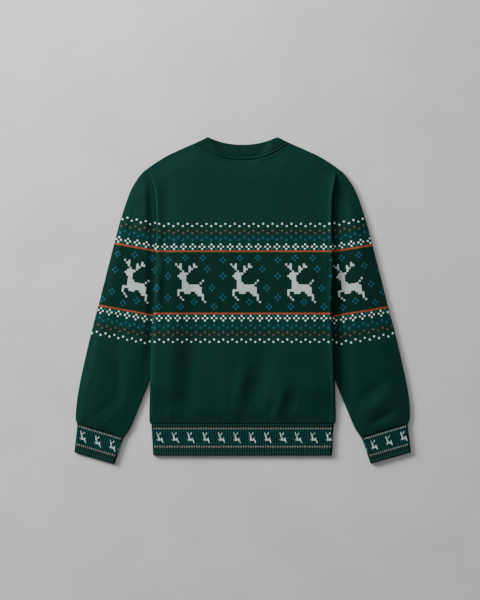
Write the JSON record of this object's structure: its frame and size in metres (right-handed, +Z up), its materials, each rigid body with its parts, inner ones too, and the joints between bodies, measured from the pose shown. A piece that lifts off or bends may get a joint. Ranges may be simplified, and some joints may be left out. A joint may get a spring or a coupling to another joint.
{
  "type": "christmas sweater",
  "caption": "Crew-neck knitted sweater laid flat with its back up, with long sleeves and ribbed collar, hem band and cuffs.",
  "frame": {"origin": "middle of the garment's bounding box, on the surface that it lies on", "axes": "+X across the garment from cuff to cuff, +Y from the hem towards the collar, +Z up from the surface"},
  "size_m": [0.7394, 0.7182, 0.0129],
  "materials": {
    "body_knit": "matt brushed knit",
    "rib_knit": "matt rib knit"
  },
  "bodies": {
    "root": {"front_panel": "body_knit", "back_panel": "body_knit", "left_sleeve": "body_knit", "right_sleeve": "body_knit", "collar_band": "rib_knit", "hem_band": "rib_knit", "left_cuff": "rib_knit", "right_cuff": "rib_knit"}
  },
  "joints": []
}
